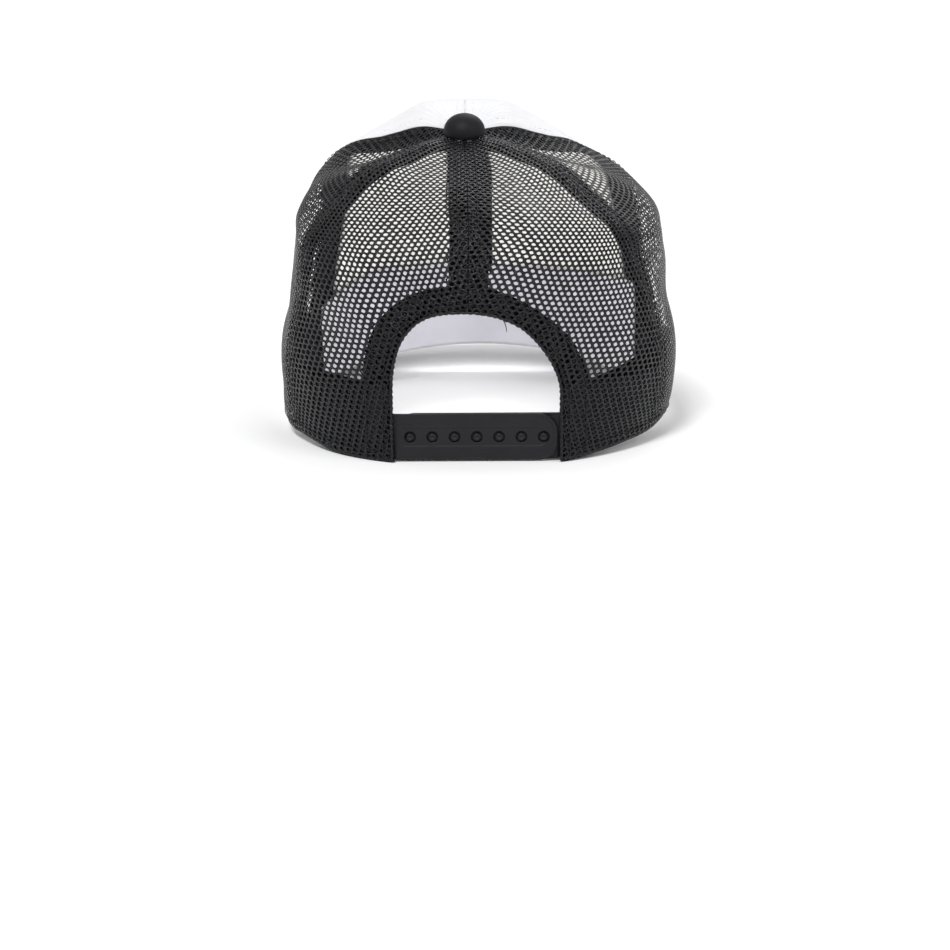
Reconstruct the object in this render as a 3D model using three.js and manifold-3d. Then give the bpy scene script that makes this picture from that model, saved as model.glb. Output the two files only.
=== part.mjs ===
// Trucker cap: foam front, four mesh panels, curved visor and a snap strap over an arched rear opening.
// Millimetres, +Z up. The wearer faces -Y, so the visor is at -Y, the strap at +Y and the wearer's left
// at +X. The origin is the centre of the head opening, on the plane that the cap stands on.

import * as THREE from 'three';
import { mergeVertices } from 'three/addons/utils/BufferGeometryUtils.js';
import Module from 'manifold-3d';

const wasm = await Module();
wasm.setup();

// ---- Driving dimensions ----
const HALF_WIDTH = 84; // head opening, centre to side
const HALF_LENGTH = 97; // head opening, centre to front
const PLAN_POWER = 2.15; // 2 is an ellipse, more is squarer
const BACK_SEAM = 53; // degrees round from the rear, both ways
const FRONT_SEAM = 124;
const APEX_HEIGHT = 130.2;
const APEX_TILT = 14; // degrees that the button leans to the rear

const CLEARANCE = 0.3; // between pieces that touch
const MESH_THICKNESS = 1;
const FACE_THICKNESS = 0.8;
const FOAM_THICKNESS = 3;
const TAPE_WIDTH = 17;
const TAPE_THICKNESS = 0.8;
const BAND_THICKNESS = 1.4;

const ARCH_HALF_WIDTH = 35.8;
const ARCH_SPRING = 30; // height where the straight sides turn into the arch
const ARCH_RISE = 35;
const ARCH_POWER = 2.2;
const ARCH_TAPE_SIDE = 12.8;
const ARCH_TAPE_TOP = 10.6;

const STRAP_LOW = 0.6;
const STRAP_HIGH = 20.8;
const STRAP_THICKNESS = 1.4;
const STRAP_INSET = 2.8; // from the crown's outer surface to the outer strap's face
const STRAP_HINGE = 34.6; // centre line of each strap's bend, from the middle
const STRAP_END_RADIUS = 8;
const ANCHOR_LENGTH = 14;
const PEG_PITCH = 9.5;
const PEG_COUNT = 7;
const PEG_RADIUS = 1.65;
const PEG_LENGTH = 2;
const HOLE_RADIUS = 2.35;

const VISOR_LENGTH = 70;
const VISOR_HALF_WIDTH = 90;
const VISOR_BEND = 250; // radius that the visor curls to, side to side
const VISOR_SLOPE = 0.07;
const VISOR_HEIGHT = 17.5; // at the middle of the visor's seam
const BOARD_THICKNESS = 2;
const COVER_THICKNESS = 0.8;

const BUTTON_RADIUS = 9.5;
const BUTTON_HEIGHT = 6.6;

// Meridians from the rim up to the button: reach, as a share of the head opening's, and height in mm.
// The first height is the rim's, which rimHeight() gives.
const REAR = { reach: [1, 1.02, 1.03, 1.02, 0.99, 0.925, 0.74, 0.41, 0.06],
  height: [0, 18, 36, 56, 74.5, 93.5, 109, 119.5, 128.8] };
const SIDE = { reach: [1, 1.035, 1.05, 1.005, 0.985, 0.945, 0.74, 0.41, 0.06],
  height: [0, 18, 37, 59, 79, 98, 112.5, 121.5, 130.2] };
const FRONT = { reach: [1, 1.004, 0.995, 0.972, 0.925, 0.82, 0.62, 0.32, 0.06],
  height: [0, 37, 58, 80, 101, 118, 132, 141.5, 131.6] };

const ROWS = 16; // facets from rim to button, the same for every layer so that the layers nest
const FACET = 8; // degrees round

// ---- Small helpers ----
const radians = THREE.MathUtils.degToRad;
const lerp = THREE.MathUtils.lerp;
const smooth = THREE.MathUtils.smoothstep;

/** Uniform Catmull-Rom curve through evenly spaced values, t from 0 to 1. */
function spline(values, t) {
  const last = values.length - 1;
  const place = Math.min(Math.max(t, 0), 1) * last;
  const k = Math.min(Math.floor(place), last - 1);
  const f = place - k;
  const b = values[k];
  const c = values[k + 1];
  const a = k > 0 ? values[k - 1] : 2 * b - c;
  const d = k + 2 <= last ? values[k + 2] : 2 * c - b;
  return b + 0.5 * f * (c - a + f * (2 * a - 5 * b + 4 * c - d + f * (3 * (b - c) + d - a)));
}

// ---- The crown's surface ----
/** Distance from the axis to the head opening's edge, phi degrees round from the rear. */
function openingRadius(phi) {
  const across = Math.abs(Math.sin(radians(phi)) / HALF_WIDTH) ** PLAN_POWER;
  const along = Math.abs(Math.cos(radians(phi)) / HALF_LENGTH) ** PLAN_POWER;
  return (across + along) ** (-1 / PLAN_POWER);
}

/** Height of the visor's middle surface. */
function visorSurface(x, y) {
  return VISOR_HEIGHT - (x * x) / (2 * VISOR_BEND) + VISOR_SLOPE * (y + HALF_LENGTH);
}

/** The rim is flat at the rear and rises to the visor's seam at the front. */
function rimHeight(phi) {
  const r = openingRadius(phi);
  const seam = visorSurface(r * Math.sin(radians(phi)), r * Math.cos(radians(phi)));
  return seam * smooth(Math.abs(phi), 32, FRONT_SEAM);
}

/** A point on the crown's outer surface: phi in degrees, t from 0 at the rim to 1 at the button. */
function crownSurface(phi, t) {
  const round = Math.abs(phi);
  const side = smooth(round, 10, 80);
  const front = smooth(round, 95, 155);
  const blend = (key, k) => lerp(lerp(REAR[key][k], SIDE[key][k], side), FRONT[key][k], front);
  const reach = SIDE.reach.map((_, k) => blend('reach', k));
  const height = SIDE.height.map((_, k) => (k === 0 ? rimHeight(round) : blend('height', k)));
  const r = openingRadius(phi) * spline(reach, t);
  return new THREE.Vector3(r * Math.sin(radians(phi)), r * Math.cos(radians(phi)), spline(height, t));
}

/** The same point moved inwards, square to the surface. The rim's edge stays level. */
function crownPoint(phi, t, inset) {
  const point = crownSurface(phi, t);
  const step = 0.004;
  const round = crownSurface(phi + 0.5, t).sub(crownSurface(phi - 0.5, t));
  const up = crownSurface(phi, Math.min(t + step, 1)).sub(crownSurface(phi, Math.max(t - step, 0)));
  const inward = round.cross(up).normalize();
  if (t === 0) inward.setZ(0).normalize();
  return point.addScaledVector(inward, inset);
}

/** Angle in degrees that a width covers round the crown at height t. */
function angleOf(width, phi, t) {
  const p = crownSurface(phi, t);
  return THREE.MathUtils.radToDeg(width / Math.hypot(p.x, p.y));
}

// ---- Solids ----
/** A closed solid between two grids of points of the same size. */
function slab(outer, inner) {
  const rows = outer.length;
  const columns = outer[0].length;
  const positions = [...outer.flat(), ...inner.flat()].flatMap((p) => [p.x, p.y, p.z]);
  const top = (i, j) => i * columns + j;
  const under = (i, j) => rows * columns + top(i, j);
  const index = [];
  const quad = (a, b, c, d) => index.push(a, c, b, a, d, c);
  for (let i = 0; i < rows - 1; i += 1) {
    for (let j = 0; j < columns - 1; j += 1) {
      quad(top(i, j), top(i, j + 1), top(i + 1, j + 1), top(i + 1, j));
      quad(under(i, j), under(i + 1, j), under(i + 1, j + 1), under(i, j + 1));
    }
    quad(top(i, 0), top(i + 1, 0), under(i + 1, 0), under(i, 0));
    quad(top(i + 1, columns - 1), top(i, columns - 1), under(i, columns - 1), under(i + 1, columns - 1));
  }
  for (let j = 0; j < columns - 1; j += 1) {
    quad(top(0, j + 1), top(0, j), under(0, j), under(0, j + 1));
    quad(top(rows - 1, j), top(rows - 1, j + 1), under(rows - 1, j + 1), under(rows - 1, j));
  }
  const geometry = new THREE.BufferGeometry();
  geometry.setAttribute('position', new THREE.Float32BufferAttribute(positions, 3));
  geometry.setIndex(index);
  return geometry;
}

/** A layer of the crown. from and to give its edges in degrees at height t; inset gives its depth. */
function crownLayer({ from, to, low = 0, high = 1, inset, thickness, facets }) {
  const heights = [low];
  for (let k = 1; k < ROWS; k += 1) {
    if (k / ROWS > low + 0.01 && k / ROWS < high - 0.01) heights.push(k / ROWS);
  }
  heights.push(high);
  const steps = facets ?? Math.ceil(Math.abs(to(0) - from(0)) / FACET);
  const grid = (deeper) => heights.map((t) => Array.from({ length: steps + 1 }, (_, j) => {
    const phi = lerp(from(t), to(t), j / steps);
    return crownPoint(phi, t, inset(phi) + deeper);
  }));
  return slab(grid(0), grid(thickness));
}

/** A manifold solid from a closed geometry. */
function solid(geometry) {
  const bare = geometry.clone();
  bare.deleteAttribute('normal');
  bare.deleteAttribute('uv');
  const merged = mergeVertices(bare, 1e-4);
  return new wasm.Manifold(new wasm.Mesh({
    numProp: 3,
    vertProperties: new Float32Array(merged.attributes.position.array),
    triVerts: new Uint32Array(merged.index.array),
  }));
}

function geometryOf(manifold) {
  const mesh = manifold.getMesh();
  const geometry = new THREE.BufferGeometry();
  geometry.setAttribute('position', new THREE.BufferAttribute(new Float32Array(mesh.vertProperties), 3));
  geometry.setIndex(new THREE.BufferAttribute(new Uint32Array(mesh.triVerts), 1));
  return geometry;
}

const cut = (geometry, tool) => geometryOf(solid(geometry).subtract(solid(tool)));
const common = (geometry, tool) => geometryOf(solid(geometry).intersect(solid(tool)));
const join = (geometry, ...others) => geometryOf(others.reduce((sum, one) => sum.add(solid(one)), solid(geometry)));

/** Turns a shape drawn in X and Z into a solid from y = back to y = front. */
function extrudeAlongY(shape, back, front, curveSegments = 12) {
  const geometry = new THREE.ExtrudeGeometry(shape, {
    depth: front - back, bevelEnabled: false, curveSegments,
  });
  geometry.rotateX(Math.PI / 2);
  geometry.translate(0, front, 0);
  return geometry;
}

// ---- Rear opening ----
/** Outline of the rear opening, grown by side and top, from below the rim and back to it. */
function archOutline(side, top) {
  const below = -12;
  const steps = 28;
  const outline = [new THREE.Vector2(ARCH_HALF_WIDTH + side, below)];
  for (let k = 0; k <= steps; k += 1) {
    const angle = (Math.PI * k) / steps;
    const bend = (value) => Math.sign(value) * Math.abs(value) ** (2 / ARCH_POWER);
    outline.push(new THREE.Vector2((ARCH_HALF_WIDTH + side) * bend(Math.cos(angle)),
      ARCH_SPRING + (ARCH_RISE + top) * bend(Math.sin(angle))));
  }
  outline.push(new THREE.Vector2(-ARCH_HALF_WIDTH - side, below));
  return outline;
}

const archTool = (side, top) => extrudeAlongY(new THREE.Shape(archOutline(side, top)), 40, 130);

function archTape() {
  const region = crownLayer({ from: () => -36, to: () => 36, high: 0.5, facets: 10,
    inset: () => MESH_THICKNESS + 0.5, thickness: TAPE_THICKNESS });
  return cut(common(region, archTool(ARCH_TAPE_SIDE, ARCH_TAPE_TOP)), archTool(0, 0));
}

// ---- Crown panels ----
const seamGap = (phi) => (t) => angleOf(CLEARANCE / 2 + 0.05, phi, t);

/** A panel between two seams, given in degrees. */
function panel(start, end, thickness) {
  return crownLayer({
    from: (t) => start + seamGap(start)(t),
    to: (t) => end - seamGap(end)(t),
    inset: () => 0,
    thickness,
  });
}

/** Half the seam tape's angle at height t. The tapes narrow near the button so that they don't meet. */
const tapeReach = (phi, t) => Math.min(angleOf(TAPE_WIDTH / 2, phi, t), 27);
const TAPE_TOP = 14 / ROWS;

function seamTape(phi, depth, low = 0) {
  return crownLayer({
    from: (t) => phi - tapeReach(phi, t),
    to: (t) => phi + tapeReach(phi, t),
    low,
    high: TAPE_TOP,
    inset: () => depth,
    thickness: TAPE_THICKNESS,
    facets: 4,
  });
}

/** Foam behind half of the front. It stops at the tape of the side seam. */
function frontFoam(sign) {
  const beyond = (t) => FRONT_SEAM + tapeReach(FRONT_SEAM, t) + angleOf(0.6, FRONT_SEAM, t);
  const middle = (t) => 180 - seamGap(180)(t);
  return crownLayer({
    from: sign > 0 ? beyond : (t) => -middle(t),
    to: sign > 0 ? middle : (t) => -beyond(t),
    high: TAPE_TOP,
    inset: () => FACE_THICKNESS + 0.4,
    thickness: FOAM_THICKNESS,
    facets: 7,
  });
}

// ---- Sweatband ----
const OPEN_EDGE = 22; // degrees round to the rear opening's edge
const FRONT_DEPTH = FACE_THICKNESS + FOAM_THICKNESS + TAPE_THICKNESS + 1.5;
const SIDE_DEPTH = MESH_THICKNESS + TAPE_THICKNESS + 1.1;
const LEFT_STRAP_DEPTH = STRAP_INSET;
const RIGHT_STRAP_DEPTH = STRAP_INSET + STRAP_THICKNESS + CLEARANCE;

/** How deep the sweatband lies: behind the strap's sewn end, the side tapes, then the foam. */
function bandDepth(phi) {
  const strap = (phi > 0 ? LEFT_STRAP_DEPTH : RIGHT_STRAP_DEPTH) + STRAP_THICKNESS + 0.5;
  const round = Math.abs(phi);
  return lerp(lerp(strap, SIDE_DEPTH, smooth(round, 34, 50)), FRONT_DEPTH, smooth(round, 108, 124));
}

const BAND_TOP = 3.9 / ROWS; // 36 to 39 mm above the rim

function sweatband(start, end) {
  return crownLayer({ from: () => start, to: () => end, high: BAND_TOP,
    inset: bandDepth, thickness: BAND_THICKNESS });
}

// ---- Snap strap ----
/** Y of the face of a layer at the rear opening's edge. */
const edgeY = (depth) => crownPoint(OPEN_EDGE, 0.03, depth).y;
const HOLE_STRAP_Y = edgeY(LEFT_STRAP_DEPTH);
const PEG_STRAP_Y = HOLE_STRAP_Y - STRAP_THICKNESS - CLEARANCE;

/** Strap outline in X and Z, from its bend at +X to its rounded end at -X. */
function strapOutline(root, end) {
  const r = STRAP_END_RADIUS;
  const shape = new THREE.Shape();
  shape.moveTo(root, STRAP_LOW);
  shape.lineTo(root, STRAP_HIGH);
  shape.lineTo(end + r, STRAP_HIGH);
  shape.absarc(end + r, STRAP_HIGH - r, r, Math.PI / 2, Math.PI, false);
  shape.absarc(end + r, STRAP_LOW + r, r, Math.PI, 1.5 * Math.PI, false);
  shape.closePath();
  return shape;
}

const STRAP_MIDDLE = (STRAP_LOW + STRAP_HIGH) / 2;
const STRAP_ROOT = STRAP_HINGE - CLEARANCE;
const STRAP_END = -34.5;
const pegPlace = (k) => (k - (PEG_COUNT - 1) / 2) * PEG_PITCH;

function holeStrap() {
  const shape = strapOutline(STRAP_ROOT, STRAP_END);
  for (let k = 0; k < PEG_COUNT; k += 1) {
    const hole = new THREE.Path();
    hole.absarc(pegPlace(k), STRAP_MIDDLE, HOLE_RADIUS, 0, 2 * Math.PI, true);
    shape.holes.push(hole);
  }
  return extrudeAlongY(shape, HOLE_STRAP_Y - STRAP_THICKNESS, HOLE_STRAP_Y, 8);
}

function pegStrap() {
  const plate = extrudeAlongY(strapOutline(STRAP_ROOT, STRAP_END), PEG_STRAP_Y - STRAP_THICKNESS, PEG_STRAP_Y, 8);
  plate.rotateZ(Math.PI);
  plate.translate(0, 2 * PEG_STRAP_Y - STRAP_THICKNESS, 0);
  const root = 0.2; // each peg is sunk this far into the plate
  const pegs = Array.from({ length: PEG_COUNT }, (_, k) => {
    const peg = new THREE.CylinderGeometry(PEG_RADIUS, PEG_RADIUS, PEG_LENGTH + root, 12);
    peg.translate(pegPlace(k), PEG_STRAP_Y + (PEG_LENGTH - root) / 2, STRAP_MIDDLE);
    return peg;
  });
  return join(plate, ...pegs);
}

/** The sewn end of a strap, inside the hem. sign is 1 on the wearer's left. */
function strapAnchor(sign, depth) {
  const edge = STRAP_HINGE + 1.1;
  const start = THREE.MathUtils.radToDeg(Math.asin(edge / HALF_LENGTH)) + 0.6;
  const span = angleOf(ANCHOR_LENGTH, OPEN_EDGE, 0);
  const region = crownLayer({
    from: () => (sign > 0 ? start - 4 : -start - span),
    to: () => (sign > 0 ? start + span : -start + 4),
    high: 4 / ROWS,
    facets: 3,
    inset: () => depth,
    thickness: STRAP_THICKNESS,
  });
  const window = new THREE.Shape();
  window.moveTo(sign * edge, STRAP_LOW);
  window.lineTo(sign * 70, STRAP_LOW);
  window.lineTo(sign * 70, STRAP_HIGH);
  window.lineTo(sign * edge, STRAP_HIGH);
  window.closePath();
  return common(region, extrudeAlongY(window, 40, 130));
}

// ---- Visor ----
const VISOR_SPAN = 180 - FRONT_SEAM;
const VISOR_WAIST = 75; // distance ahead of the middle where the visor is widest
const VISOR_TAIL = 24; // how far its corners reach back from there
const VISOR_TURN = 118; // degrees round the outline from the tip to each corner

/** Plan point on the visor: v from -1 to 1 across, u from 0 at the crown to 1 at the outer edge. */
function visorPlan(u, v, trim) {
  const phi = 180 - VISOR_SPAN * v;
  const r = openingRadius(phi) + CLEARANCE + 0.2;
  const inner = new THREE.Vector2(r * Math.sin(radians(phi)), r * Math.cos(radians(phi)));
  const turn = radians(VISOR_TURN * v);
  const ahead = HALF_LENGTH + VISOR_LENGTH - VISOR_WAIST;
  const length = (Math.cos(turn) > 0 ? ahead : VISOR_TAIL) - trim;
  const outer = new THREE.Vector2((VISOR_HALF_WIDTH - trim) * Math.sin(turn), -VISOR_WAIST - length * Math.cos(turn));
  return inner.lerp(outer, u);
}

/** A visor layer from height low to high over the visor's middle surface. */
function visorLayer(low, high, trim) {
  const across = 18;
  const along = 3;
  const grid = (rise) => Array.from({ length: along + 1 }, (_, i) => Array.from({ length: across + 1 }, (__, j) => {
    const p = visorPlan(i / along, (2 * j) / across - 1, trim);
    return new THREE.Vector3(p.x, p.y, visorSurface(p.x, p.y) + rise);
  }));
  return slab(grid(high), grid(low));
}

// ---- Button ----
const lathe = (points, sides) => {
  const geometry = new THREE.LatheGeometry(points.map(([x, y]) => new THREE.Vector2(x, y)), sides);
  geometry.rotateX(Math.PI / 2);
  return geometry;
};

/** A dome with an open underside: outer radius and height, wall thickness, height of its lower edge. */
function dome(radius, height, wall, base) {
  const steps = 5;
  const arc = (r, h) => Array.from({ length: steps + 1 }, (_, k) => {
    const angle = (Math.PI / 2) * (1 - k / steps);
    return [r * Math.cos(angle), base + h * Math.sin(angle)];
  });
  return lathe([...arc(radius, height), ...arc(radius - wall, height - wall).reverse()].reverse(), 20);
}

const BUTTON_BASE = 1.7; // the cover's lower edge, over the crown
const COVER_WALL = 0.8;
const SHELL_WALL = 0.5;

function buttonBack() {
  const plate = 8;
  const shank = 1.7;
  const under = -MESH_THICKNESS - 2.2;
  const top = BUTTON_BASE + BUTTON_HEIGHT - COVER_WALL - SHELL_WALL - 2 * CLEARANCE;
  return lathe([[0, under], [plate, under], [plate, under + 0.9], [shank, under + 0.9], [shank, top], [0, top]], 20);
}

// ---- Assembly ----
const cap = new THREE.Group();

const finish = (color, roughness, metalness = 0) => ({ color, roughness, metalness });
const BLACK_MESH = finish(0x1b1b1d, 0.85);
const BLACK_TAPE = finish(0x161618, 0.9);
const BLACK_PLASTIC = finish(0x1d1d1f, 0.45);
const WHITE_CLOTH = finish(0xf2f1f4, 0.85);
const CREAM_FOAM = finish(0xe9e2cf, 0.95);
const BRIGHT_METAL = finish(0xb9bbbe, 0.35, 1);

function add(name, geometry, look, parent = cap) {
  const mesh = new THREE.Mesh(geometry, new THREE.MeshStandardMaterial(look));
  mesh.name = name;
  parent.add(mesh);
}

for (const [side, sign] of [['left', 1], ['right', -1]]) {
  const span = (low, high) => (sign > 0 ? [low, high] : [-high, -low]);
  add(`front_${side}_panel`, panel(...span(FRONT_SEAM, 180), FACE_THICKNESS), WHITE_CLOTH);
  add(`front_${side}_foam`, frontFoam(sign), CREAM_FOAM);
  add(`side_${side}_mesh`, panel(...span(BACK_SEAM, FRONT_SEAM), MESH_THICKNESS), BLACK_MESH);
  add(`back_${side}_mesh`, cut(panel(...span(0, BACK_SEAM), MESH_THICKNESS), archTool(0, 0)), BLACK_MESH);
  add(`seam_tape_front_${side}`, seamTape(sign * FRONT_SEAM, MESH_THICKNESS + 0.5), BLACK_TAPE);
  add(`seam_tape_back_${side}`, seamTape(sign * BACK_SEAM, MESH_THICKNESS + 0.5), BLACK_TAPE);
  add(`sweatband_${side}`, sweatband(...span(OPEN_EDGE + 0.8, FRONT_SEAM - 0.2)), BLACK_TAPE);
}
add('seam_tape_front_centre', seamTape(180, FACE_THICKNESS + FOAM_THICKNESS + 0.9), BLACK_TAPE);
add('seam_tape_back_centre', cut(seamTape(0, MESH_THICKNESS + 0.5, 0.2),
  archTool(ARCH_TAPE_SIDE + CLEARANCE, ARCH_TAPE_TOP + CLEARANCE)), BLACK_TAPE);
add('arch_tape', archTape(), BLACK_TAPE);
add('sweatband_front', sweatband(FRONT_SEAM, 360 - FRONT_SEAM), WHITE_CLOTH);

add('hole_strap', holeStrap(), BLACK_PLASTIC);
add('hole_strap_anchor', strapAnchor(1, LEFT_STRAP_DEPTH), BLACK_PLASTIC);
add('peg_strap', pegStrap(), BLACK_PLASTIC);
add('peg_strap_anchor', strapAnchor(-1, RIGHT_STRAP_DEPTH), BLACK_PLASTIC);

const boardHalf = BOARD_THICKNESS / 2;
const coverLow = boardHalf + CLEARANCE;
add('visor_board', visorLayer(-boardHalf, boardHalf, 2), WHITE_CLOTH);
add('visor_top_cover', visorLayer(coverLow, coverLow + COVER_THICKNESS, 0), WHITE_CLOTH);
add('visor_under_cover', visorLayer(-coverLow - COVER_THICKNESS, -coverLow, 0), WHITE_CLOTH);

const button = new THREE.Group();
button.position.set(0, 0, APEX_HEIGHT);
button.rotation.x = -radians(APEX_TILT);
cap.add(button);
add('button_cover', dome(BUTTON_RADIUS, BUTTON_HEIGHT, COVER_WALL, BUTTON_BASE), BLACK_TAPE, button);
add('button_shell', dome(BUTTON_RADIUS - COVER_WALL - CLEARANCE, BUTTON_HEIGHT - COVER_WALL - CLEARANCE,
  SHELL_WALL, BUTTON_BASE), BRIGHT_METAL, button);
add('button_back', buttonBack(), BRIGHT_METAL, button);

export default cap;
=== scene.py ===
"""Looks of the trucker cap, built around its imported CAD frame.

The crown's surface is the CAD's own formula in millimetres, so every layer of cloth, net, tape and thread lies
where the CAD says. A soft deformation on top of it gives the cap the lean and the creases of worn-in net.
Polar angles are in degrees round from the rear (+Y), positive towards the wearer's left (+X).
"""
import bpy
import numpy as np
from mathutils import Matrix, Vector


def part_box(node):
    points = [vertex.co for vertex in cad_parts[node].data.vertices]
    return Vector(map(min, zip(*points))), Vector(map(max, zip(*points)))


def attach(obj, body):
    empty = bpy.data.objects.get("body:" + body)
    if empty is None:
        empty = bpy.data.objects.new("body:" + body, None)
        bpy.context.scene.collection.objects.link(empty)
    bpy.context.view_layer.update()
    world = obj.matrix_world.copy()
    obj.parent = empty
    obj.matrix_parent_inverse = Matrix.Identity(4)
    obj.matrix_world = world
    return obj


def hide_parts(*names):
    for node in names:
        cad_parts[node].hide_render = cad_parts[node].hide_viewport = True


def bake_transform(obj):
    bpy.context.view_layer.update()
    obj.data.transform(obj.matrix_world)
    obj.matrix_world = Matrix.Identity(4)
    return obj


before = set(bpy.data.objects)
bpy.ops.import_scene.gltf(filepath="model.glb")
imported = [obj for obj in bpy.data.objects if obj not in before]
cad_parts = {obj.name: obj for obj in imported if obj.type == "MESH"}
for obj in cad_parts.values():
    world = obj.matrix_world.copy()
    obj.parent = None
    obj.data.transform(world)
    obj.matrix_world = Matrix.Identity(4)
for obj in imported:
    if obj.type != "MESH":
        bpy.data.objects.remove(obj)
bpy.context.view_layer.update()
rng = np.random.default_rng(20)
MM = 0.001
FLAT_UNIT = 10 * MM  # of a piece's flat map

# ---- Crown surface, in mm ----
HALF_WIDTH, HALF_LENGTH, PLAN_POWER = 84.0, 97.0, 2.15
BACK_SEAM, FRONT_SEAM = 53.0, 124.0
VISOR_BEND, VISOR_SLOPE, VISOR_HEIGHT = 250.0, 0.07, 17.5
REAR = ([1, 1.02, 1.03, 1.02, 0.99, 0.925, 0.74, 0.41, 0.06],
        [0, 18, 36, 56, 74.5, 93.5, 109, 119.5, 128.8])
SIDE = ([1, 1.035, 1.05, 1.005, 0.985, 0.945, 0.74, 0.41, 0.06],
        [0, 18, 37, 59, 79, 98, 112.5, 121.5, 130.2])
FRONT = ([1, 1.004, 0.995, 0.972, 0.925, 0.82, 0.62, 0.32, 0.06],
         [0, 37, 58, 80, 101, 118, 132, 141.5, 131.6])
LAST = len(REAR[0]) - 1


def smooth(x, low, high):
    f = np.clip((np.asarray(x, float) - low) / (high - low), 0, 1)
    return f * f * (3 - 2 * f)


def spline(values, t):
    """Catmull-Rom through values, shape (9, n), at t, shape (n)."""
    place = np.clip(t, 0, 1) * LAST
    k = np.minimum(place.astype(int), LAST - 1)
    f = place - k
    each = np.arange(t.size)
    b, c = values[k, each], values[k + 1, each]
    a = np.where(k > 0, values[np.maximum(k - 1, 0), each], 2 * b - c)
    d = np.where(k + 2 <= LAST, values[np.minimum(k + 2, LAST), each], 2 * c - b)
    return b + 0.5 * f * (c - a + f * (2 * a - 5 * b + 4 * c - d + f * (3 * (b - c) + d - a)))


def opening_radius(phi):
    p = np.radians(phi)
    across = np.abs(np.sin(p) / HALF_WIDTH) ** PLAN_POWER
    along = np.abs(np.cos(p) / HALF_LENGTH) ** PLAN_POWER
    return (across + along) ** (-1 / PLAN_POWER)


def visor_surface(x, y):
    return VISOR_HEIGHT - x * x / (2 * VISOR_BEND) + VISOR_SLOPE * (y + HALF_LENGTH)


def crown(phi, t):
    """Points of the crown's outer surface before it is softened."""
    phi, t = np.broadcast_arrays(np.asarray(phi, float), np.asarray(t, float))
    shape = phi.shape
    phi, t = phi.ravel(), t.ravel()
    turn = np.abs(phi)
    side, front = smooth(turn, 10, 80), smooth(turn, 95, 155)
    p = np.radians(phi)
    r = opening_radius(phi)

    def blend(k):
        rear, flank, face = (np.array(curve[k], float)[:, None] for curve in (REAR, SIDE, FRONT))
        middle = rear + (flank - rear) * side
        return middle + (face - middle) * front

    height = blend(1)
    height[0] = visor_surface(r * np.sin(p), r * np.cos(p)) * smooth(turn, 32, FRONT_SEAM)
    r = r * spline(blend(0), t)
    return np.stack([r * np.sin(p), r * np.cos(p), spline(height, t)], -1).reshape(*shape, 3)


def eased(z, heights, values):
    """Values at heights, with the corners between them rounded off."""
    grid = np.arange(-20.0, 160.0)
    window = np.hanning(19)
    level = np.convolve(np.pad(np.interp(grid, heights, values), 9, mode="edge"), window / window.sum(), "valid")
    return np.interp(z, grid, level)


# How the worn net sits, in mm
LEAN = 5.5  # of the top, to the wearer's left
SAG_REAR, SAG_TOP = 7.0, 2.3  # sinking at the shoulders, and beside the front
CROWN_LIFT = 2.6  # standing up round the button
HEM_LIFT, HEM_LIFT_LEFT = 3.7, 2.2  # the hem's curl on the wearer's right, and at the left flank
ARCH_LIFT, ARCH_LIFT_RIGHT = 1.1, 1.8  # the opening's top, and its right shoulder, standing up
CENTRE_SWING = 1.9  # degrees that the centre seam is pulled round to the left
# heights, and how many degrees each back seam is pulled round to the left there
SWING_LEFT = ([40, 60, 80, 100], [8.5, 8.0, 6.0, 4.4])
SWING_RIGHT = ([42, 60, 76, 92], [-6.5, -4.0, 0.0, 3.5])
# heights, and how far the net stands out at each flank there
BULGE_LEFT = ([0, 9, 18, 74, 92, 101, 110, 120, 127], [1.8, 3.2, 0.9, -0.4, -0.7, 1.4, 5.0, 4.8, -2.2])
BULGE_RIGHT = ([0, 9, 18, 55, 74, 101, 111, 118, 127], [0.4, 1.5, 1.2, 1.0, 0.8, 0.9, 2.4, -1.4, -1.8])


def hump(x, middle, width):
    return np.exp(-((x - middle) / width) ** 2)


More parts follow.
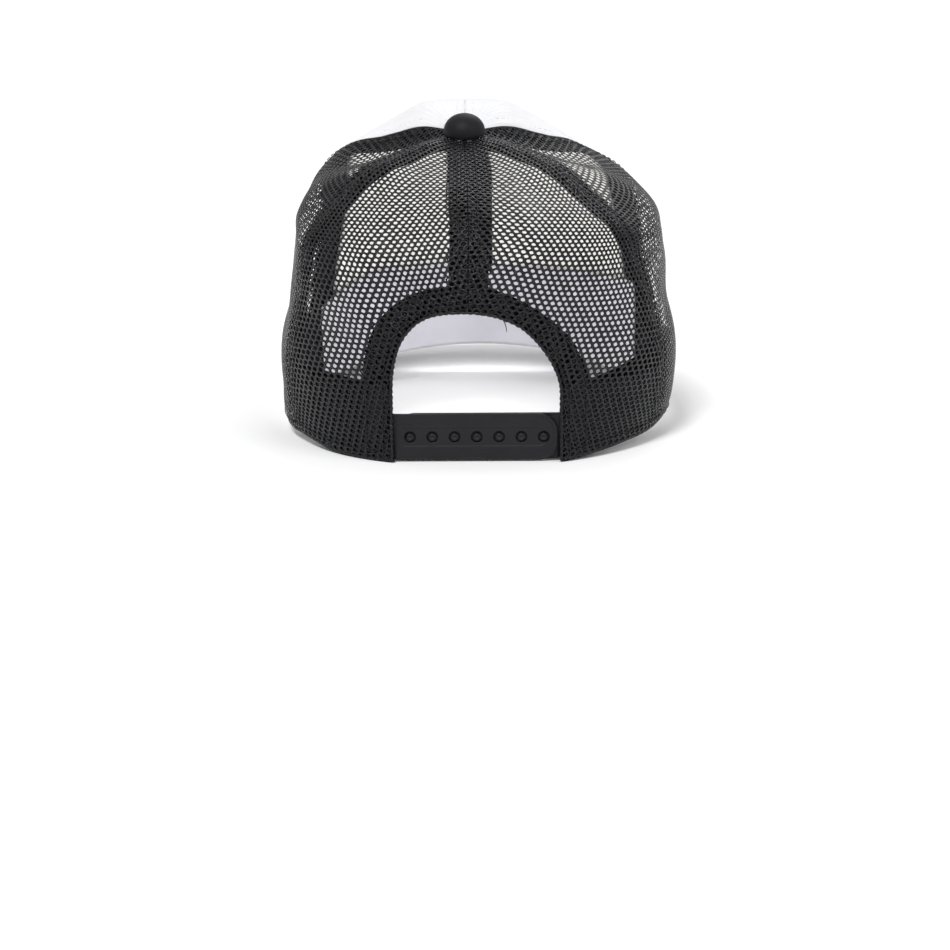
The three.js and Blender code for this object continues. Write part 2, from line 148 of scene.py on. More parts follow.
def soften(points):
    """The lean of the top and the creases of the net. It moves every layer alike."""
    p = np.array(points, float)
    x, y, z = (p[..., k] for k in range(3))
    phi, r = np.degrees(np.arctan2(x, y)), np.hypot(x, y)
    turn = np.abs(phi)
    # creases, in and out of the surface
    crease = 2.1 * hump(phi, 29, 4.8) * smooth(z, 38, 70) - 1.1 * hump(phi, 17, 6) - 0.9 * hump(phi, -27, 7) \
        + 1.1 * hump(phi + 0.05 * (z - 70), -15, 4.5) * smooth(z, 52, 80)
    wave = 0.5 * np.sin(z / 9.0 + phi / 13.0) * np.sin(phi / 8.5 + 0.6) + 0.35 * np.sin(z / 5.2 - phi / 7.0)
    net = 1 - smooth(turn, 116, 132)
    out = smooth(z, 30, 60) * smooth(145 - z, 12, 40) * (net * (crease + wave) + (1 - net) * 0.35 * wave)
    share = out / np.maximum(r, 20)
    # seams pulled round, and flanks standing out
    swing = eased(z, *SWING_LEFT) * hump(phi, 54, 19) + eased(z, *SWING_RIGHT) * hump(phi, -54, 19)
    swing = swing * smooth(r, 30, 60) + CENTRE_SWING * hump(phi, 0, 20) * smooth(z, 55, 70) * (1 - smooth(z, 104, 124))
    c, s = np.cos(np.radians(swing)), np.sin(np.radians(swing))
    flank = smooth(turn, 45, 75) * (1 - smooth(turn, 122, 150)) * smooth(r, 45, 62)
    bulge = np.where(x > 0, eased(z, *BULGE_LEFT), eased(z, *BULGE_RIGHT))
    x, y = x * (1 + share), y * (1 + share)
    p[..., 0] = x * c + y * s + LEAN * smooth(z, 98, 130) + np.sign(x) * flank * bulge
    p[..., 1] = y * c - x * s
    # the top sinking, and the hem and the opening curling up
    sag = SAG_REAR * hump(turn, 58, 34) * smooth(r, 46, 72) - CROWN_LIFT * hump(turn, 48, 24) * smooth(r, 8, 24)
    sag = sag + SAG_TOP * smooth(r, 18, 40) * (1 - smooth(r, 44, 60)) * smooth(turn, 72, 95) \
        * (1 - smooth(turn, 132, 150))
    curl = HEM_LIFT * smooth(-phi, 18, 42) * (1 - smooth(-phi, 60, 85)) + HEM_LIFT_LEFT * hump(phi, 48, 9)
    arch = ARCH_LIFT * hump(phi, 0, 24) + ARCH_LIFT_RIGHT * hump(phi, -9, 9)
    lift = curl * (1 - smooth(z, 0, 25)) + arch * smooth(z, 38, 58) * (1 - smooth(z, 70, 112))
    p[..., 2] = z - smooth(z, 82, 106) * sag + lift
    return p


def unit(v):
    return v / np.maximum(np.linalg.norm(v, axis=-1, keepdims=True), 1e-9)


def inward(phi, t):
    """Unit normals into the crown."""
    phi, t = np.broadcast_arrays(np.asarray(phi, float), np.asarray(t, float))
    step = 0.004
    around = crown(phi + 0.5, t) - crown(phi - 0.5, t)
    up = crown(phi, np.minimum(t + step, 1)) - crown(phi, np.maximum(t - step, 0))
    n = np.cross(around, up)
    n[..., 2] = np.where(t <= 0, 0, n[..., 2])
    return unit(n)


def surface(phi, t, inset=0.0):
    """Softened points, inset mm inside the crown's outer surface."""
    phi, t = np.broadcast_arrays(np.asarray(phi, float), np.asarray(t, float))
    depth = np.broadcast_to(np.asarray(inset, float), phi.shape)[..., None]
    return soften(crown(phi, t) + inward(phi, t) * depth)


def beside(phi, t, offset):
    """Polar angle offset mm to the side of phi at t."""
    p = crown(phi, t)
    return phi + np.degrees(offset / np.hypot(p[..., 0], p[..., 1]))


# ---- Rear opening ----
ARCH_HALF, ARCH_SPRING, ARCH_RISE = 35.8, 30.0, 35.0
ARCH_SHIFT = 6.0  # how far the arch's top is pulled to the wearer's left
ARCH_POWER_LEFT, ARCH_POWER_RIGHT = 2.3, 2.05


def arch_curve(side, top, count=120):
    """X and Z along the opening's edge, grown by side and top, from the left hem over to the right hem."""
    legs = np.linspace(0, ARCH_SPRING, count // 4, endpoint=False)
    angle = np.linspace(0, np.pi, count)
    c, s = np.cos(angle), np.sin(angle)
    power = np.where(c > 0, ARCH_POWER_LEFT, ARCH_POWER_RIGHT)
    x = (ARCH_HALF + side) * np.sign(c) * np.abs(c) ** (2 / power)
    rise = s ** (2 / power)
    x = x + ARCH_SHIFT * rise ** 2
    z = ARCH_SPRING + (ARCH_RISE + top) * rise
    left = np.stack([np.full(legs.size, ARCH_HALF + side), legs], 1)
    right = np.stack([np.full(legs.size, -ARCH_HALF - side), legs[::-1]], 1)
    return np.concatenate([left, np.stack([x, z], 1), right])


def arch_measure(x, z, side=0.0, top=0.0):
    """Below 1 inside the opening grown by side and top, above 1 outside it."""
    rise = np.clip((z - ARCH_SPRING) / (ARCH_RISE + top), 0, None)
    across = (x - ARCH_SHIFT * np.minimum(rise, 1) ** 2) / (ARCH_HALF + side)
    power = np.where(across > 0, ARCH_POWER_LEFT, ARCH_POWER_RIGHT)
    return (np.abs(across) ** power + rise ** power) ** (1 / power)


def rear_place(x, z):
    """Polar angle and t of the rear surface's points at x, z, by Newton's method."""
    x, z = np.asarray(x, float), np.asarray(z, float)
    phi = np.degrees(np.arctan2(x, 92.0))
    t = np.clip(z / 146.0, 0.001, 0.9)
    for _ in range(7):
        p = crown(phi, t)
        dp = (crown(phi + 0.2, t) - crown(phi - 0.2, t)) / 0.4
        dt = (crown(phi, t + 0.002) - crown(phi, t - 0.002)) / 0.004
        ex, ez = x - p[..., 0], z - p[..., 2]
        det = dp[..., 0] * dt[..., 2] - dp[..., 2] * dt[..., 0]
        phi = phi + (ex * dt[..., 2] - ez * dt[..., 0]) / det
        t = np.clip(t + (ez * dp[..., 0] - ex * dp[..., 2]) / det, -0.05, 0.95)
    return phi, t


# ---- Meshes ----
def volume(points, faces):
    """Volume inside closed faces, below 0 where they are wound inwards."""
    total = 0.0
    for f, n in faces:
        for k in range(1, n - 1):
            a, b, c = points[f[:, 0]], points[f[:, k]], points[f[:, k + 1]]
            total += float(np.sum(a * np.cross(b, c)))
    return total / 6


def piece(name, points, quads, look, nodes=(), slot=None, body="crown", flat=None, triangles=()):
    """A Blender object from points in mm. flat is each point's place on the cloth, in mm, for the weave."""
    points = np.asarray(points, float)
    faces = [(np.asarray(f, int), n) for f, n in ((quads, 4), (triangles, 3)) if len(f)]
    if volume(points, faces) <= 0:
        faces = [(f[:, ::-1], n) for f, n in faces]
    corners = np.concatenate([f.ravel() for f, _ in faces])
    sizes = np.concatenate([np.full(len(f), n) for f, n in faces])
    mesh = bpy.data.meshes.new(name)
    mesh.vertices.add(len(points))
    mesh.vertices.foreach_set("co", (points * MM).astype(np.float32).ravel())
    mesh.loops.add(len(corners))
    mesh.loops.foreach_set("vertex_index", corners.astype(np.int32))
    mesh.polygons.add(len(sizes))
    mesh.polygons.foreach_set("loop_start", (np.cumsum(sizes) - sizes).astype(np.int32))
    mesh.polygons.foreach_set("use_smooth", np.ones(len(sizes), bool))
    mesh.update(calc_edges=True)
    mesh.validate()
    if flat is not None:
        layer = mesh.uv_layers.new(name="flat")
        layer.data.foreach_set("uv", (np.asarray(flat, float)[corners] * FLAT_UNIT).astype(np.float32).ravel())
    obj = bpy.data.objects.new(name, mesh)
    bpy.context.scene.collection.objects.link(obj)
    mesh.materials.append(look)
    if nodes:
        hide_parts(*nodes)
    if body:
        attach(obj, body)
    return obj


def sewn(width, length, area):
    """Works out the area of a sheet that is sewn in under tension, from its cut's size in mm, and does not keep it."""
    min(area, width * length) * MM * MM


def sewn_grid(grid):
    """The same for a sheet whose cut is as large as a grid of points on it."""
    width = max(arc(row)[-1] for row in grid)
    length = max(arc(column)[-1] for column in grid.transpose(1, 0, 2))
    a, b = np.diff(grid, axis=0)[:, :-1], np.diff(grid, axis=1)[:-1]
    sewn(width, length, np.linalg.norm(np.cross(a, b), axis=-1).sum())


def grid_quads(rows, columns, offset=0, flip=False, wrap=False):
    i, j = np.meshgrid(np.arange(rows - 1), np.arange(columns if wrap else columns - 1), indexing="ij")
    i, j = i.ravel(), j.ravel()
    k = (j + 1) % columns
    q = np.stack([i * columns + j, i * columns + k, (i + 1) * columns + k, (i + 1) * columns + j], 1) + offset
    return q[:, ::-1] if flip else q


def arc(points):
    """Lengths along a run of points, from 0."""
    return np.concatenate([[0], np.cumsum(np.linalg.norm(np.diff(points, axis=0), axis=1))])


def slab(name, outer, inner, look, rests_on=None, **more):
    """A closed sheet between two grids of points, shape (rows, columns, 3). Outer is seen with +round x +up out.
    With rests_on, what it is sewn to, its sewn area is worked out and not kept; what rests_on names is not used."""
    rows, columns = outer.shape[:2]
    n = rows * columns
    faces = [grid_quads(rows, columns), grid_quads(rows, columns, n, flip=True)]
    ring = np.concatenate([np.arange(columns), (np.arange(1, rows) + 1) * columns - 1,
                           (rows - 1) * columns + np.arange(columns - 2, -1, -1),
                           np.arange(rows - 2, 0, -1) * columns])
    after = np.roll(ring, -1)
    faces.append(np.stack([after, ring, ring + n, after + n], 1))
    wide = np.array([arc(row) for row in outer])
    wide = wide - wide[:, -1:] / 2
    tall = np.array([arc(column) for column in outer.transpose(1, 0, 2)]).T
    flat = np.stack([wide, tall], -1).reshape(-1, 2)
    points = np.concatenate([outer.reshape(-1, 3), inner.reshape(-1, 3)])
    obj = piece(name, points, np.concatenate(faces), look, flat=np.tile(flat, (2, 1)), **more)
    if rests_on is not None:
        sewn_grid((outer + inner) / 2)
    return obj


def layer(name, start, end, low, high, inset, thickness, look, rows=60, columns=60, puff=None, **more):
    """A layer of the crown between two edges, each a polar angle or a function of t, from low to high."""
    t = np.linspace(low, 1 if callable(high) else high, rows)[:, None]
    edge = lambda e: e(t[:, 0])[:, None] if callable(e) else np.full((rows, 1), float(e))
    across = np.linspace(0, 1, columns)[None]
    a, b = edge(start), edge(end)
    if b[0, 0] < a[0, 0]:
        a, b = b, a
    phi = a + (b - a) * across
    t = t * high(phi) if callable(high) else np.broadcast_to(t, phi.shape)
    depth = inset(phi, t) if callable(inset) else np.full(phi.shape, float(inset))
    bulge = puff(phi, t) if puff else 0.0
    # angles grow towards +X, which is clockwise from above, so the outer face is wound the other way
    outer, inner = surface(phi, t, depth - bulge), surface(phi, t, depth + thickness)
    return slab(name, outer[:, ::-1], inner[:, ::-1], look, **more)


def bar_quads(rings, sides):
    """Quads of a closed bar made of rings of points, with an even number of sides."""
    k = np.arange(sides // 2 - 1)
    cap = np.stack([k, k + 1, sides - 2 - k, sides - 1 - k], 1)
    return np.concatenate([grid_quads(rings, sides, wrap=True), cap[:, ::-1], cap + (rings - 1) * sides])


def circle(sides):
    """Cosines and sines round a ring, each shaped to spread over points' coordinates."""
    angle = np.linspace(0, 2 * np.pi, sides, endpoint=False)
    return np.cos(angle)[None, :, None], np.sin(angle)[None, :, None]


def tube(path, radius, sides=8, up=(0, 0, 1)):
    """Points and quads of a round bar along a path, with its ends drawn in."""
    n = len(path)
    along = unit(np.gradient(path, axis=0))
    across = unit(np.cross(along, np.broadcast_to(np.array(up, float), along.shape)))
    lift = np.cross(across, along)
    c, s = circle(sides)
    r = np.broadcast_to(radius, n).astype(float)
    r[[0, -1]] *= 0.35
    points = path[:, None] + (across[:, None] * c + lift[:, None] * s) * r[:, None, None]
    return points.reshape(-1, 3), bar_quads(n, sides)


def merged(parts):
    """Several (points, quads) as one."""
    points, quads, at = [], [], 0
    for p, q in parts:
        points.append(p)
        quads.append(q + at)
        at += len(p)
    return np.concatenate(points), np.concatenate(quads)


def spaced(path, step):
    """Points step apart along a path, and how far along it they are."""
    s = arc(path)
    n = max(int(s[-1] / step), 2)
    at = np.linspace(0, s[-1], n + 1)
    return np.stack([np.interp(at, s, path[:, k]) for k in range(3)], 1), at


# a stitch's section: place along it, thickness and height, as shares of its length, radius and 1 mm
STITCH = ((-0.5, 0.35, -0.30), (-0.38, 0.85, -0.02), (0, 1.0, 0.12), (0.38, 0.85, -0.02), (0.5, 0.35, -0.30))
STITCH_PITCH, STITCH_LENGTH = 3.0, 2.3


def stitches(paths, radius=0.2, lift=0.05):
    """Points and quads of a row of separate stitches along each (path, outward normals)."""
    out = []
    sides = 6
    cos, sin = circle(sides)
    quads = bar_quads(len(STITCH), sides)
    for path, normal in paths:
        s = arc(path)
        n = int(s[-1] / STITCH_PITCH)
        if n < 1:
            continue
        at = (np.arange(n) + 0.5) * s[-1] / n
        pick = lambda v: np.stack([np.interp(at, s, v[:, k]) for k in range(3)], 1)
        centre, up, along = pick(path), pick(normal), unit(pick(np.gradient(path, axis=0)))
        up = unit(up - along * np.sum(up * along, 1, keepdims=True))
        across = np.cross(along, up)
        run = STITCH_LENGTH * (1 + rng.normal(0, 0.03, n))[:, None]
        skew = rng.normal(0, 0.05, n)[:, None]
        ring = []
        for x, r, h in STITCH:
            base = centre + (along + across * skew) * x * run + up * (lift + h)
            ring.append(base[:, None] + radius * r * (across[:, None] * cos + up[:, None] * sin))
        points = np.stack(ring, 1).reshape(-1, 3)
        first = np.arange(n)[:, None, None] * len(STITCH) * sides
        out.append((points, (quads[None] + first).reshape(-1, 4)))
    return merged(out)


# ---- Net: flat cloth with rows of holes, wrapped onto a gore ----
STEP, SPACING = 2.35, 2.85  # between holes along a column, and between columns
HOLE_HALF_WIDTH, HOLE_HALF_HEIGHT, HOLE_SQUARE = 0.84, 0.72, 0.70  # a hole, and the power that squares it
GRAIN = 16.0  # degrees that the columns run outwards as they go down


class Gore:
    """A panel laid flat: u across from its middle meridian, v up along it, in mm."""

    def __init__(self, start, end):
        self.start, self.end, self.middle = start, end, (start + end) / 2
        self.t = np.linspace(0, 1, 201)
        self.phi = np.linspace(start - 8, end + 8, 101)
        grid = crown(self.phi[None], self.t[:, None])
        run = np.linalg.norm(np.diff(grid, axis=1), axis=2)
        run = np.concatenate([np.zeros((len(self.t), 1)), np.cumsum(run, axis=1)], 1)
        half = np.array([np.interp(self.middle, self.phi, row) for row in run])
        self.u = run - half[:, None]
        self.v = arc(crown(np.full_like(self.t, self.middle), self.t))

    def wrap(self, u, v):
        """Polar angle and t of flat points."""
        t = np.interp(v, self.v, self.t)
        place = t * (len(self.t) - 1)
        k = np.minimum(place.astype(int), len(self.t) - 2)
        phi = np.empty_like(t)
        order = np.argsort(k, kind="stable")
        edges = np.searchsorted(k[order], np.arange(len(self.t)))
        for row in range(len(self.t) - 1):
            pick = order[edges[row]:edges[row + 1]]
            if len(pick):
                f = place[pick] - row
                phi[pick] = (1 - f) * np.interp(u[pick], self.u[row], self.phi) \
                    + f * np.interp(u[pick], self.u[row + 1], self.phi)
        return phi, t


def net(gore, grain, inset, high, keep=None, clamp=None, thick=0.27, fine=True, phase=0.0, open_share=1.0):
    """Points, quads, flat places, flat area and cut of the net over a gore.
    keep picks cells by polar angle and t; clamp moves points to its edges."""
    w, h = SPACING, STEP
    reach = (w * w + h * h / 4) / 2
    corner_x, point_x = (reach - h * h / 4) / w, reach / w
    hexagon = np.array([[point_x, 0], [corner_x, h / 2], [-corner_x, h / 2], [-point_x, 0],
                        [-corner_x, -h / 2], [corner_x, -h / 2]])
    rim = np.stack([hexagon, (hexagon + np.roll(hexagon, -1, 0)) / 2], 1).reshape(12, 2)
    angle = np.arctan2(rim[:, 1] / h, rim[:, 0] / w)
    squared = lambda c: np.sign(c) * np.abs(c) ** HOLE_SQUARE
    hole = np.stack([HOLE_HALF_WIDTH * squared(np.cos(angle)), HOLE_HALF_HEIGHT * squared(np.sin(angle))], 1)
    span = max(np.abs(gore.u).max(), 10) + 6
    n = int((span + gore.v[-1] + 6) / min(w, h)) + 4
    i, j = np.meshgrid(np.arange(-n, n + 1), np.arange(-n, n + 1), indexing="ij")
    i, j = i.ravel(), j.ravel()
    centre = np.stack([j * w, (i + 0.5 * (j % 2)) * h], 1) + [phase * w, phase * h * 1.7]
    c, s = np.cos(np.radians(grain)), np.sin(np.radians(grain))
    turn = np.array([[c, s], [-s, c]])
    centre = centre @ turn + [0, gore.v[-1] / 2]
    rim, hole = rim @ turn, hole @ turn
    centre = centre[(np.abs(centre[:, 0]) < span) & (centre[:, 1] > -2) & (centre[:, 1] < gore.v[-1])]
    phi, t = gore.wrap(*centre.T)
    margin = np.degrees(1.9 / np.maximum(np.hypot(*crown(phi, t)[:, :2].T), 1))
    use = (phi > gore.start - margin) & (phi < gore.end + margin) & (t < high) & (centre[:, 1] > -1.2)
    if keep is not None:
        use &= keep(phi, t)
    centre = centre[use]
    m = len(centre)
    # each cell: its outline on the strands' middle lines, shared with its neighbours, and its hole
    outline = (centre[:, None] + rim[None]).reshape(-1, 2)
    key = np.round(outline / 0.02).astype(np.int64)
    _, first, back = np.unique(key[:, 0] * 1000003 + key[:, 1], return_index=True, return_inverse=True)
    shared = outline[first]
    shared = shared + rng.normal(0, 0.045, shared.shape)
    lump = 0.8 + 0.2 * ((first % 12) % 2 == 0) + rng.normal(0, 0.04, len(first))
    size = 1 + rng.normal(0, 0.05, (m, 1, 1))
    edge = centre[:, None] + hole[None] * size * open_share + rng.normal(0, 0.035, (m, 12, 2))
    between = (0.48 * shared[back].reshape(m, 12, 2) + 0.52 * edge).reshape(-1, 2)
    edge = edge.reshape(-1, 2)
    rings = [(shared, -thick * lump), (edge, np.zeros(len(edge))), (shared, thick * lump)]
    if fine:
        rings.insert(1, (between, np.full(len(between), -0.78 * thick)))
    flat = np.concatenate([r for r, _ in rings])
    depth = inset + np.concatenate([d for _, d in rings])
    phi, t = gore.wrap(*flat.T)
    t = np.clip(t, 0, high)
    if clamp is not None:
        phi, t = clamp(phi, t)
    points = surface(np.clip(phi, gore.start + 0.05, gore.end - 0.05), t, depth)
    tables, at = [], 0
    for ring, _ in rings:
        tables.append((back if ring is shared else np.arange(m * 12)).reshape(m, 12) + at)
        at += len(ring)
    quads = np.concatenate([np.stack([a, b, np.roll(b, -1, 1), np.roll(a, -1, 1)], -1).reshape(-1, 4)
                            for a, b in zip(tables, tables[1:])])
    p = points[quads]
    area = np.linalg.norm(np.cross(p[:, 2] - p[:, 0], p[:, 3] - p[:, 1]), axis=1)
    used, quads = np.unique(quads[area > 2e-4], return_inverse=True)
    across = max(np.ptp(np.interp([gore.start, gore.end], gore.phi, row)) for row in gore.u[gore.t <= high])
    return points[used], quads.reshape(-1, 4), flat[used], m * w * h, (across, np.interp(high, gore.t, gore.v))


# ---- Materials ----
class Look:
    """A material with its shader, and helpers that add nodes."""

    def __init__(self, name, colour, rough, specular=0.4, sheen=0.0, sheen_rough=0.4, metal=0.0):
        self.material = bpy.data.materials.new(name)
        self.material.use_nodes = True
        self.tree, self.colour = self.material.node_tree, colour
        self.shader = self.tree.nodes["Principled BSDF"]
        for socket, value in (("Base Color", (*colour, 1)), ("Roughness", rough), ("Specular IOR Level", specular),
                              ("Metallic", metal), ("Sheen Weight", sheen), ("Sheen Roughness", sheen_rough)):
            self.shader.inputs[socket].default_value = value
        self.place = self.add("TexCoord", {}).outputs["Object"]

    def add(self, kind, inputs, **settings):
        """A node, with a value or another node's output for each input."""
        node = self.tree.nodes.new("ShaderNode" + kind)
        for key, value in settings.items():
            setattr(node, key, value)
        for key, value in inputs.items():
            if hasattr(value, "is_output"):
                self.tree.links.new(value, node.inputs[key])
            else:
                node.inputs[key].default_value = value
        return node

    def noise(self, scale, detail, **more):
        return self.add("TexNoise", {"Vector": self.place, "Scale": scale, "Detail": detail, **more}).outputs["Fac"]

    def cells(self, scale):
        return self.add("TexVoronoi", {"Vector": self.place, "Scale": scale}).outputs["Distance"]

    def plus(self, a, share, b):
        return self.add("Math", {0: a, 1: share, 2: b}, operation="MULTIPLY_ADD").outputs["Value"]

    def set(self, socket, output):
        self.tree.links.new(output, self.shader.inputs[socket])

    def bump(self, height, strength, distance):
        node = self.add("Bump", {"Strength": strength, "Distance": distance, "Height": height})
        self.set("Normal", node.outputs["Normal"])

    def vary(self, amount, scale):
        """Colour that drifts a little from place to place."""
        ramp = self.add("ValToRGB", {"Fac": self.noise(scale, 3.0)})
        for stop, place, factor in zip(ramp.color_ramp.elements, (0.3, 0.7), (1 - amount, 1 + amount)):
            stop.position = place
            stop.color = (*[min(c * factor, 1) for c in self.colour], 1)
        self.set("Base Color", ramp.outputs["Color"])
        return ramp.outputs["Color"]


def cloth(name, colour, thread, rough=0.8, bump=0.25, amount=0.05, fuzz=0.3, twill=False, specular=0.2):
    """Woven cloth on the piece's flat map: thread is the pitch in mm."""
    look = Look(name, colour, rough, specular, fuzz, 0.5)
    flat = look.add("UVMap", {}, uv_map="flat").outputs["UV"]
    if twill:
        flat = look.add("Mapping", {"Vector": flat, "Rotation": (0, 0, 0.6)}).outputs["Vector"]
    waves = [look.add("TexWave", {"Vector": flat, "Scale": 1 / (thread * FLAT_UNIT) / np.pi, "Distortion": 0.5,
                                  "Detail": 1.0, "Detail Scale": 3.0}, wave_type="BANDS", bands_direction=way)
             for way in ("X", "Y")]
    weave = look.add("Math", {k: wave.outputs["Fac"] for k, wave in enumerate(waves)},
                     operation="MULTIPLY" if twill else "MAXIMUM").outputs["Value"]
    look.bump(look.plus(look.noise(2600.0, 2.0), 0.5, weave), bump, thread * MM * 0.5)
    # the weave's low places are darkened in the colour: painted shade between the threads
    shade = look.add("MapRange", {"Value": weave, "From Min": 0.0, "From Max": 1.0, "To Min": 0.7, "To Max": 1.0})
    mix = look.add("Mix", {"Factor": 0.35, "A": look.vary(amount, 60.0), "B": shade.outputs["Result"]},
                   data_type="RGBA", blend_type="MULTIPLY")
    look.set("Base Color", mix.outputs["Result"])
    return look.material


def yarn(name, colour, rough=0.5, specular=0.35, scale=1800.0, bump=0.35, sheen=0.15):
    """Thread or knitted strands: twisted fibres at a fine scale."""
    look = Look(name, colour, rough, specular, sheen, 0.3)
    fibre = look.noise(scale, 3.0, Roughness=0.6)
    look.bump(look.plus(look.cells(scale * 0.9), 0.6, fibre), bump, 0.0004)
    look.vary(0.3, 700.0)
    return look.material


def moulded(name, colour, rough=0.42, specular=0.4):
    """Satin moulded plastic with a fine grain and faint scuffs."""
    look = Look(name, colour, rough, specular)
    look.bump(look.noise(1400.0, 4.0), 0.08, 0.0002)
    gloss = look.add("MapRange", {"Value": look.noise(180.0, 6.0), "From Min": 0.3, "From Max": 0.7,
                                  "To Min": rough - 0.06, "To Max": rough + 0.1})
    look.set("Roughness", gloss.outputs["Result"])
    look.vary(0.12, 90.0)
    return look.material


def sponge(name, colour):
    """Open-cell foam."""
    look = Look(name, colour, 0.95, 0.15, 0.2)
    look.bump(look.cells(1300.0), 0.5, 0.0004)
    look.vary(0.04, 120.0)
    return look.material


def brushed(name, colour, rough):
    look = Look(name, colour, rough, metal=1.0)
    look.bump(look.noise(900.0, 4.0), 0.1, 0.0001)
    look.vary(0.05, 200.0)
    return look.material


NET = yarn("net", (0.0030, 0.0029, 0.0046), rough=0.23, specular=0.30, sheen=0.0, scale=1300.0, bump=0.8)
BLACK_THREAD = yarn("black_thread", (0.005, 0.005, 0.006), rough=0.3, specular=0.35, scale=2600.0, sheen=0.0)
WHITE_THREAD = yarn("white_thread", (0.80, 0.80, 0.81), rough=0.6, scale=2600.0, bump=0.5)
WHITE_CLOTH = cloth("white_cloth", (0.76, 0.76, 0.785), 0.42, rough=0.85, bump=0.3, amount=0.015)
# the front sweatband is white cloth; its colour is darkened to a grey lavender: painted shade of the front's inside
SHADED_WHITE_BAND = cloth("white_sweatband_painted_shade", (0.59, 0.58, 0.635), 0.5, rough=0.9, bump=0.3, twill=True)
BLACK_BAND = cloth("black_sweatband", (0.004, 0.004, 0.005), 0.5, rough=0.85, bump=0.4, twill=True,
                   fuzz=0.01, specular=0.05)
BLACK_TAPE = cloth("black_tape", (0.004, 0.004, 0.005), 0.6, rough=0.85, bump=0.5, fuzz=0.01, specular=0.05)
BUTTON_CLOTH = cloth("button_cloth", (0.007, 0.007, 0.009), 0.3, rough=0.55, bump=0.1, fuzz=0.02, specular=0.17)
FOAM = sponge("cream_foam", (0.79, 0.78, 0.745))
PLASTIC = moulded("strap_plastic", (0.0105, 0.0102, 0.0135), rough=0.38, specular=0.24)
BOARD = moulded("visor_board", (0.7, 0.7, 0.68), rough=0.5)
METAL = brushed("button_metal", (0.7, 0.7, 0.72), 0.3)

# ---- Net panels ----
NET_DEPTH = 0.5
NET_TOP = 0.99  # the button covers the rest
SHEET_MIN = 10  # mm across the narrowest net whose sewn area is worked out
SIDES = (("left", 1), ("right", -1))


def net_piece(name, made, sewn_to, cut=None, **more):
    """A piece of net from what net() gives. cut is its width and length in mm where it isn't a gore."""
    points, quads, flat, area, gore_cut = made
    obj = piece(name, points, quads, NET, slot="net", flat=flat, **more)
    width, length = cut or gore_cut
    if width > SHEET_MIN:
        sewn(width, length or area / width, area)


def outside_arch(phi, t):
    """Moves points out of the rear opening onto its edge."""
    p = crown(phi, t)
    x, z = p[:, 0], p[:, 2]
    m = arch_measure(x, z)
    cut = (m < 1) & (np.abs(phi) < 40)
    if not cut.any():
        return phi, t
    # walk out from a point on the middle line of the opening
    x0, z0 = x[cut], z[cut]
    foot = np.minimum(z0, ARCH_SPRING)
    low, high = np.ones(cut.sum()), np.full(cut.sum(), 60.0)
    for _ in range(26):
        s = (low + high) / 2
        inside = arch_measure(x0 * s, foot + (z0 - foot) * s) < 1
        low, high = np.where(inside, s, low), np.where(inside, high, s)
    phi, t = phi.copy(), t.copy()
    phi[cut], t[cut] = rear_place(x0 * high, foot + (z0 - foot) * high)
    return phi, t


def clear_of_arch(phi, t):
    p = crown(phi, t)
    return (arch_measure(p[:, 0], p[:, 2], 0.4, 0.4) > 1) | (np.abs(phi) > 40)


for side, sign in SIDES:
    span = lambda a, b: (a, b) if sign > 0 else (-b, -a)
    gore = Gore(*span(BACK_SEAM, FRONT_SEAM))
    net_piece(f"side_{side}_net", net(gore, -sign * 12.0, NET_DEPTH, NET_TOP, thick=0.2),
              [f"front_{side}_panel", f"back_{side}_net"], nodes=[f"side_{side}_mesh"])
    gore = Gore(*span(0, BACK_SEAM))
    net_piece(f"back_{side}_net", net(gore, sign * GRAIN, NET_DEPTH, NET_TOP, keep=clear_of_arch, clamp=outside_arch),
              [f"side_{side}_net"], nodes=[f"back_{side}_mesh"])

# ---- Turned edges: a second layer of net under every seam and round the opening ----
TAPE_HALF, TAPE_NARROW = 8.5, 6.5  # half widths at the centre back, and at the other seams
TURNED_DEPTH = 0.8
ARCH_SIDE, ARCH_TOP = 11.6, 10.6
SEAMS = (("back_centre", 0.0), ("back_left", BACK_SEAM), ("back_right", -BACK_SEAM),
         ("front_left", FRONT_SEAM), ("front_right", -FRONT_SEAM), ("front_centre", 180.0))


def away(phi, t, seam):
    """Distance in mm round from a seam."""
    p = crown(phi, t)
    return np.radians(phi - seam) * np.hypot(p[..., 0], p[..., 1])


def band_half(t, seam):
    """Half width of a seam's turned edges and tape."""
    return TAPE_HALF if seam == 0 else TAPE_NARROW + (TAPE_HALF - TAPE_NARROW) * smooth(t, 0.58, 0.74)


def in_band(seam, first, last):
    def keep(phi, t):
        gap = away(phi, t, seam) / band_half(t, seam)
        p = crown(phi, t)
        above = arch_measure(p[..., 0], p[..., 2], ARCH_SIDE - 1, ARCH_TOP - 1) > 1
        return (gap > first) & (gap < last) & (above | (np.abs(phi) > 40))
    return keep


def in_arch_band(phi, t):
    p = crown(phi, t)
    return (arch_measure(p[:, 0], p[:, 2], 0.3, 0.3) > 1) \
        & (arch_measure(p[:, 0], p[:, 2], ARCH_SIDE - 0.4, ARCH_TOP - 0.4) < 1)


def turned_net(name, start, end, grain, keep, sewn_to, cut=None, **more):
    made = net(Gore(start, end), grain, TURNED_DEPTH, more.pop("high", 0.98), keep=keep, thick=0.22, fine=False,
               phase=0.37, open_share=0.93, **more)
    net_piece(name, made, sewn_to, cut)


